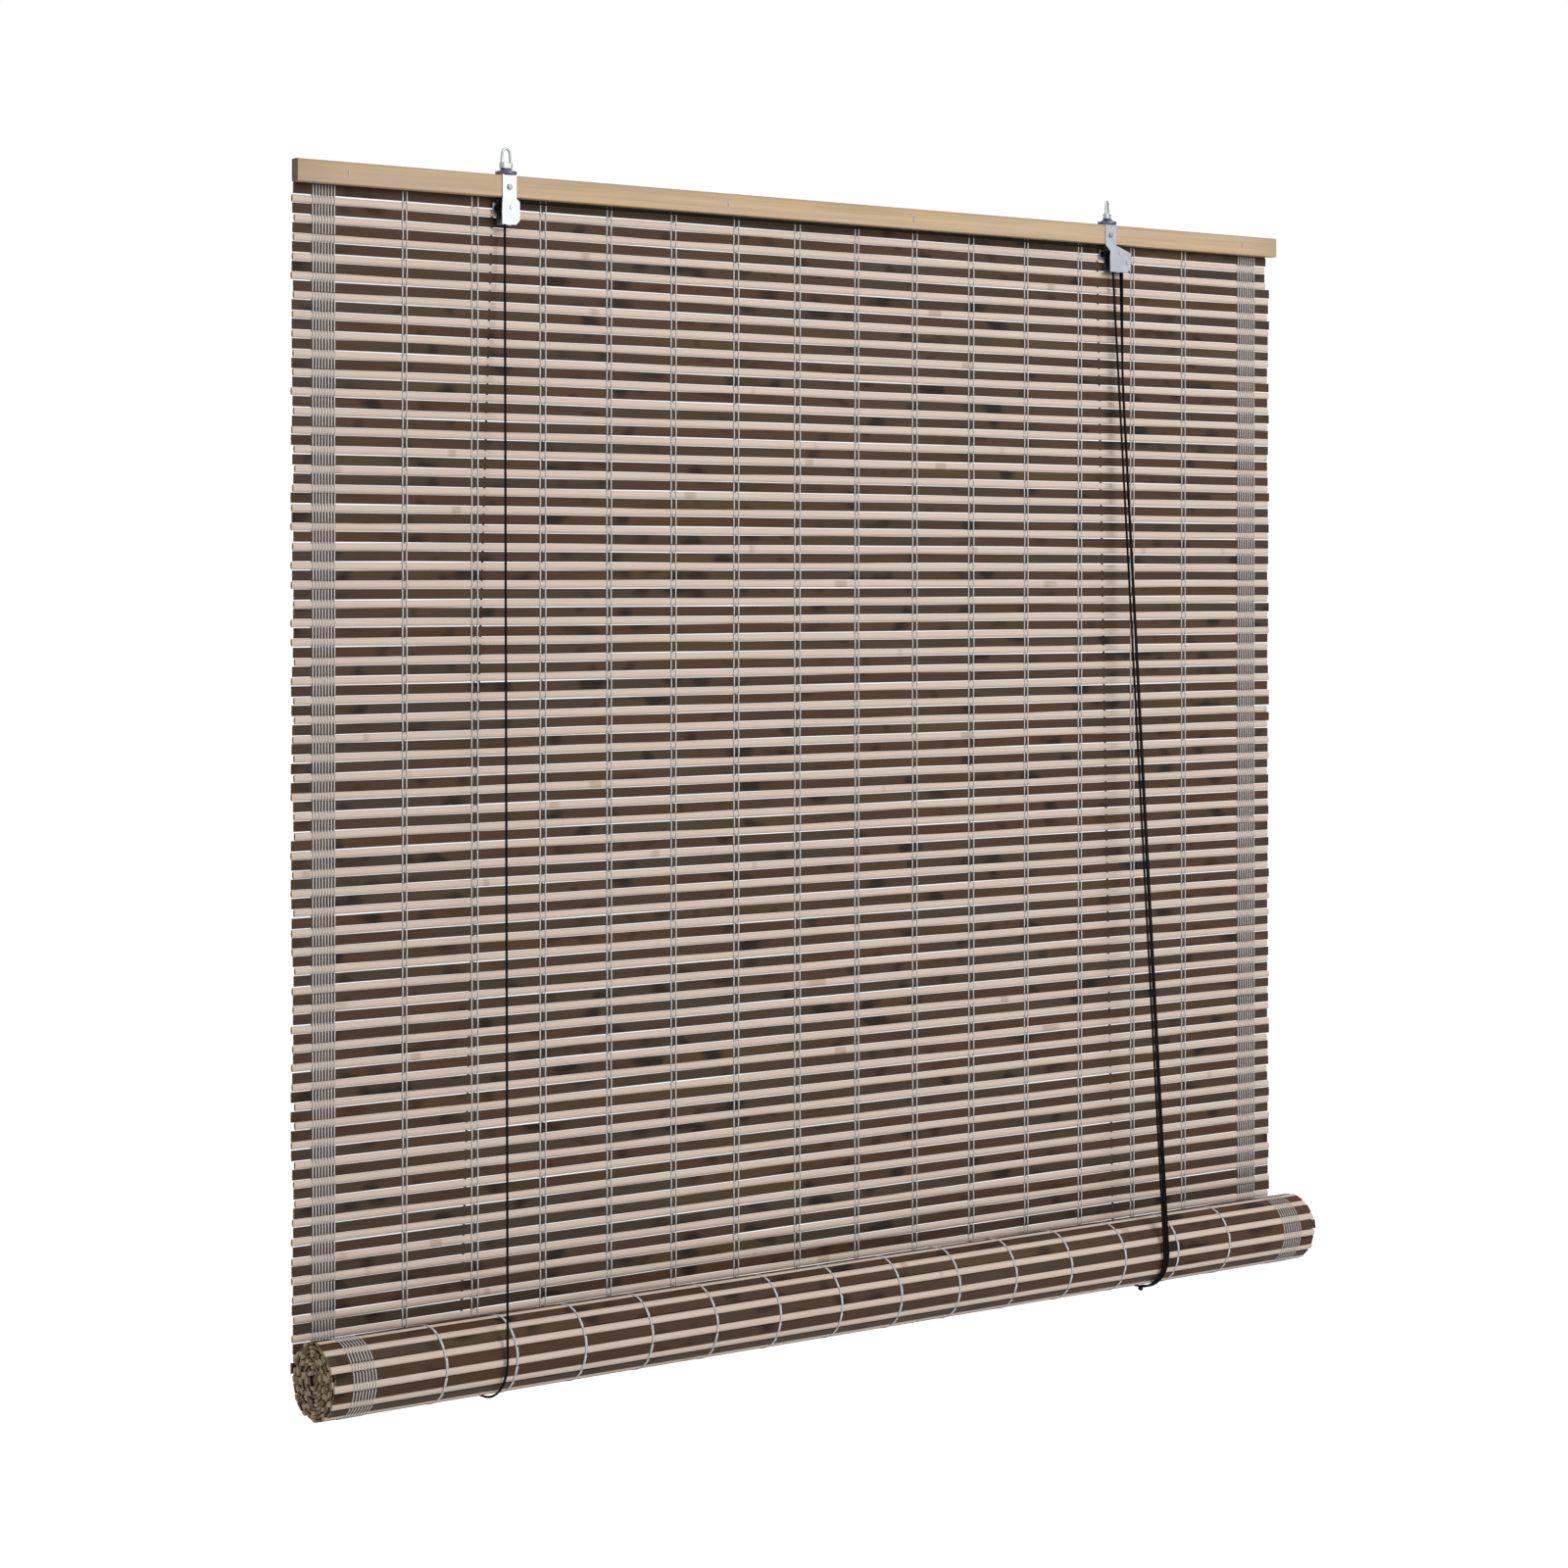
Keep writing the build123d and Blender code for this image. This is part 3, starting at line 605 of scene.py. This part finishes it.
# Cords: black braided cord, 2.2 mm thick. Each lift cord is tied to a clip, goes down behind the
# mat, under the roll and up its face to a wheel, and its other end is a pull cord.
cord_radius = 0.0011
cord_sides = 8
braid_turns = 3600
cord_braid, surface, place = new_finish("cord_braid", "strip", Specular_IOR_Level=0.08)
round_it = place.part("Y").maths("ARCTAN2", place.part("Z"), place.part("Y"))
along_it = place.part("X") * braid_turns
leftward = (along_it + round_it * 2).sine()
rightward = (along_it - round_it * 2).sine()
plait = leftward.maths("MAXIMUM", leftward, rightward)
fuzz = place.speckle((2600, 3, 3), 3.0)
# Painted shade: the braid's colour is darker in the grooves between the plaits and lighter on their
# crests, varied at random by the fuzz.
groove_shade_and_fuzz = plait.window(-0.2, 1.0) * fuzz
groove_shade_and_fuzz.between((0.004, 0.003, 0.003, 1), (0.021, 0.017, 0.015, 1)).into(surface, "Base Color")
(0.7 + fuzz * 0.25).into(surface, "Roughness")
(plait + fuzz).relief(surface, 0.0002, 0.6)


def middle_of(node):
    """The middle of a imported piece."""
    low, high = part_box(node)
    return (low + high) / 2


def read_line(route):
    """Points along the smooth line that has the route's points as its control points."""
    line = bpy.data.curves.new("route", "CURVE")
    line.dimensions = "3D"
    spline = line.splines.new("NURBS")
    spline.points.add(len(route) - 1)
    for point, spot in zip(spline.points, route):
        point.co = (*spot, 1)
    spline.order_u = 3
    spline.use_endpoint_u = True
    spline.resolution_u = 12
    holder = bpy.data.objects.new("route", line)
    mesh = bpy.data.meshes.new_from_object(holder)
    path = [vertex.co.copy() for vertex in mesh.vertices]
    bpy.data.objects.remove(holder)
    return path


def lay_cord(name, path, node, body, radius=cord_radius):
    """A round braid along a path, for a packed cord or knot or for part of one."""
    points, drawn = [], []
    length = 0.0
    side = None
    for number, spot in enumerate(path):
        before = path[max(number - 1, 0)]
        ahead = (path[min(number + 1, len(path) - 1)] - before).normalized()
        side = ahead.orthogonal() if side is None else side - ahead * side.dot(ahead)
        side.normalize()
        other = ahead.cross(side)
        length += (spot - before).length
        for corner in range(cord_sides):
            turn = math.tau * corner / cord_sides
            outward = side * math.cos(turn) + other * math.sin(turn)
            points.append(tuple(spot + outward * radius))
            drawn.append((length, math.cos(turn), math.sin(turn)))
    faces = tube_faces(0, len(path), cord_sides)
    piece = mesh_piece(name, points, faces, drawn, [cord_braid], [0] * len(faces), smooth_below=70)
    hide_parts(node)
    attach(piece, body)
    return piece


def hang_cord(node, route, body="headrail",
              taken_up=False, foot=0.0):
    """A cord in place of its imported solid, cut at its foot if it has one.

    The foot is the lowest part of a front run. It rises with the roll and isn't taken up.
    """
    path = read_line(route)
    run = path
    if foot:
        cut_z = path[-1].z + foot
        upper = [spot for spot in path if spot.z > cut_z]
        lower = path[len(upper):]
        share = (upper[-1].z - cut_z) / (upper[-1].z - lower[0].z)
        cut = upper[-1].lerp(lower[0], share)
        run = upper + [cut]
        lay_cord(node + "_foot", [cut] + lower, node, "cord_sling")
    piece = lay_cord(node + "_braid", run, node, body)
    if taken_up:
        gather(piece)


left_wheel = Vector(joints["left_wheel_turn"]["pos_m"])
right_wheel = Vector(joints["right_wheel_turn"]["pos_m"])
groove_offset = 0.0015
near_groove = right_wheel.y - groove_offset
far_groove = right_wheel.y + groove_offset
wrap = 0.0055
wheel_drop = 0.006
front_top = right_wheel.z - wheel_drop
sling_rise = 0.0023
front_low = roll_axis.z + sling_rise
sling_reach = 0.0372
front_side = roll_axis.y - sling_reach
foot_height = 0.027
lift_cords = (("left_lift_cord", left_wheel.x - wrap, near_groove, "left_sling"),
              ("right_lift_cord", right_wheel.x - wrap, far_groove, "right_sling"))
for node, top_x, top_y, sling in lift_cords:
    top = Vector((top_x, top_y, front_top))
    low = Vector((middle_of(sling).x, front_side, front_low))
    hang_cord(node, [top, (top + low) / 2, low], taken_up=True, foot=foot_height)

lift_top = right_wheel.x - wrap
lift_foot = middle_of("right_sling").x
pull_meet_share = 0.12
straight_share, settle_share = 0.7, 0.05
for node, top_y, end in (("first_pull_cord", near_groove, "first_pull_end"),
                         ("second_pull_cord", far_groove, "second_pull_end")):
    top = Vector((right_wheel.x + wrap, top_y, front_top))
    low = Vector((middle_of(end).x, front_side, front_low))
    beside = low.x - lift_foot
    meeting = top.lerp(low, pull_meet_share)
    meeting.x = lift_top + pull_meet_share * (lift_foot - lift_top) + beside
    hang_cord(node, [top, top.lerp(meeting, straight_share), meeting,
                     meeting.lerp(low, settle_share), low],
              taken_up=True, foot=foot_height)

back_side = roll_axis.y + sling_reach
behind_mat = 0.0104
tied_drop = 0.011
back_gap = 0.0003
for side in ("left", "right"):
    knot_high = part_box(side + "_tie_knot")[1]
    knot = middle_of(side + "_tie_knot")
    low = (middle_of(side + "_sling").x, back_side, roll_axis.z + back_gap)
    hang_cord(side + "_back_cord", [(knot.x, knot_high.y, knot.z), (knot.x, behind_mat, knot.z),
                                    (knot.x, behind_mat, knot.z - tied_drop), low],
              taken_up=True)

corner_reach = sling_reach * math.tan(math.pi / 8)
under = roll_axis.z - sling_reach
for node in ("left_sling", "right_sling"):
    x = middle_of(node).x
    hang_cord(node, [(x, front_side, front_low), (x, front_side, roll_axis.z - corner_reach),
                     (x, roll_axis.y - corner_reach, under), (x, roll_axis.y + corner_reach, under),
                     (x, back_side, roll_axis.z - corner_reach), (x, back_side, roll_axis.z)],
              body="cord_sling")
for node in ("first_pull_end", "second_pull_end"):
    x = middle_of(node).x
    hang_cord(node, [(x, front_side, front_low), (x, front_side, roll_axis.z - corner_reach),
                     (x, roll_axis.y - corner_reach, under), (x, roll_axis.y, under)],
              body="cord_sling")

wrap_corner = wrap * math.tan(math.pi / 8)
over = right_wheel.z + wrap
shoulder = right_wheel.z + wrap_corner
rising = [(-wrap, front_top), (-wrap, shoulder), (-wrap_corner, over)]
falling = [(wrap_corner, over), (wrap, shoulder), (wrap, front_top)]
across_left = [(left_wheel.x + x, near_groove, z) for x, z in rising]
across_right = [(right_wheel.x + x, near_groove, z) for x, z in falling]
hang_cord("cross_cord", across_left + across_right)
turn_path = read_line([(right_wheel.x + x, far_groove, z) for x, z in rising + falling])
lay_cord("right_turn_cord_braid", turn_path, "right_turn_cord", "headrail")


# Knots: an overhand knot on each clip's tab, where the fixed end of a lift cord is tied, and one
# that joins the two pull cords under the roll.
knot_radius = 0.0012
knot_steps = 60
knot_reach, knot_depth = 3, 1.6


def tie_overhand(node, body):
    """A pulled-up overhand knot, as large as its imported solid."""
    low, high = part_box(node)
    middle = middle_of(node)
    size = ((high.x - low.x) / 2 - knot_radius) / knot_reach
    path = []
    for step in range(knot_steps + 1):
        turn = math.tau * step / knot_steps
        path.append(middle + Vector((math.sin(turn) + 2 * math.sin(2 * turn),
                                     knot_depth * math.sin(3 * turn),
                                     math.cos(turn) - 2 * math.cos(2 * turn))) * size)
    lay_cord(node + "_braid", path, node, body, knot_radius)


tie_overhand("left_tie_knot", "headrail")
tie_overhand("right_tie_knot", "headrail")
tie_overhand("pull_knot", "cord_sling")


# Studio: a pale floor well below the hanging blind, a white surround, a large soft lamp at the
# front right, a weaker one behind, and a small one for the gleam on the left clip.
floor_drop = 0.75
floor_reach = 30.0
floor_white = 1.10
floor_glow = 0.88
floor_z = cad_box[0].z - floor_drop
floor_mesh = bpy.data.meshes.new("floor")
floor_mesh.from_pydata([(-floor_reach, -floor_reach, floor_z), (floor_reach, -floor_reach, floor_z),
                        (floor_reach, floor_reach, floor_z), (-floor_reach, floor_reach, floor_z)],
                       [], [(0, 1, 2, 3)])
floor = bpy.data.objects.new("floor", floor_mesh)
bpy.context.scene.collection.objects.link(floor)
floor_paint, surface, place = new_finish("floor_paint", Roughness=0.9, Specular_IOR_Level=0.0)
surface.inputs["Base Color"].default_value = (0.86, 0.86, 0.86, 1)
seen = place.node("ShaderNodeLightPath", output="Is Camera Ray")
mirrored = place.node("ShaderNodeLightPath", output="Is Glossy Ray")
white = place.node("ShaderNodeEmission", {}, {"Color": (1, 1, 1, 1), "Strength": floor_white})
shown = seen.maths("MAXIMUM", seen, mirrored) * floor_glow
painted = {0: shown, 1: Shade(surface.outputs[0]), 2: white}
floor_mix = place.node("ShaderNodeMixShader", {}, painted)
floor_mix.into(floor_paint.node_tree.nodes["Material Output"], "Surface")
floor_mesh.materials.append(floor_paint)

world = bpy.data.worlds.new("surround")
bpy.context.scene.world = world
world.use_nodes = True
backdrop = world.node_tree.nodes["Background"]
backdrop.inputs["Color"].default_value = (1, 1, 1, 1)
start = Shade(backdrop.outputs[0])
seen = start.node("ShaderNodeLightPath", output="Is Camera Ray")
mirrored = start.node("ShaderNodeLightPath", output="Is Glossy Ray")
through = start.node("ShaderNodeLightPath", output="Is Transmission Ray")
shown = seen.maths("MAXIMUM", seen.maths("MAXIMUM", seen, mirrored), through)
(0.42 + shown * 0.58).into(backdrop, "Strength")


def soft_lamp(name, spot, aim, width, power):
    """A square soft box that faces a point."""
    lamp = bpy.data.lights.new(name, "AREA")
    lamp.size = width
    lamp.energy = power
    holder = bpy.data.objects.new(name, lamp)
    holder.location = spot
    holder.rotation_mode = "QUATERNION"
    holder.rotation_quaternion = (Vector(aim) - Vector(spot)).to_track_quat("-Z", "Y")
    bpy.context.scene.collection.objects.link(holder)


blind_middle = (0, 0, -0.55)
left_clip = (-0.38, 0, -0.05)
soft_lamp("key_lamp", spot=(0.7, -3.05, 1.4), aim=blind_middle, width=1.6, power=78)
soft_lamp("back_lamp", spot=(1.4, 3.0, 1.2), aim=blind_middle, width=1.8, power=40)
soft_lamp("clip_lamp", spot=(1.82, -3.24, 0.36), aim=left_clip, width=0.5, power=4.5)

camera = bpy.data.cameras.new("camera")
camera.lens = 83.58
camera.sensor_width = 36.0
camera.shift_y = -0.1324
camera_yaw = -38.574
holder = bpy.data.objects.new("camera", camera)
holder.location = (-2.2166, -2.6989, -0.3810)
holder.rotation_euler = (math.pi / 2, 0, math.radians(camera_yaw))
bpy.context.scene.collection.objects.link(holder)
bpy.context.scene.camera = holder
bpy.context.scene.view_settings.view_transform = "Standard"
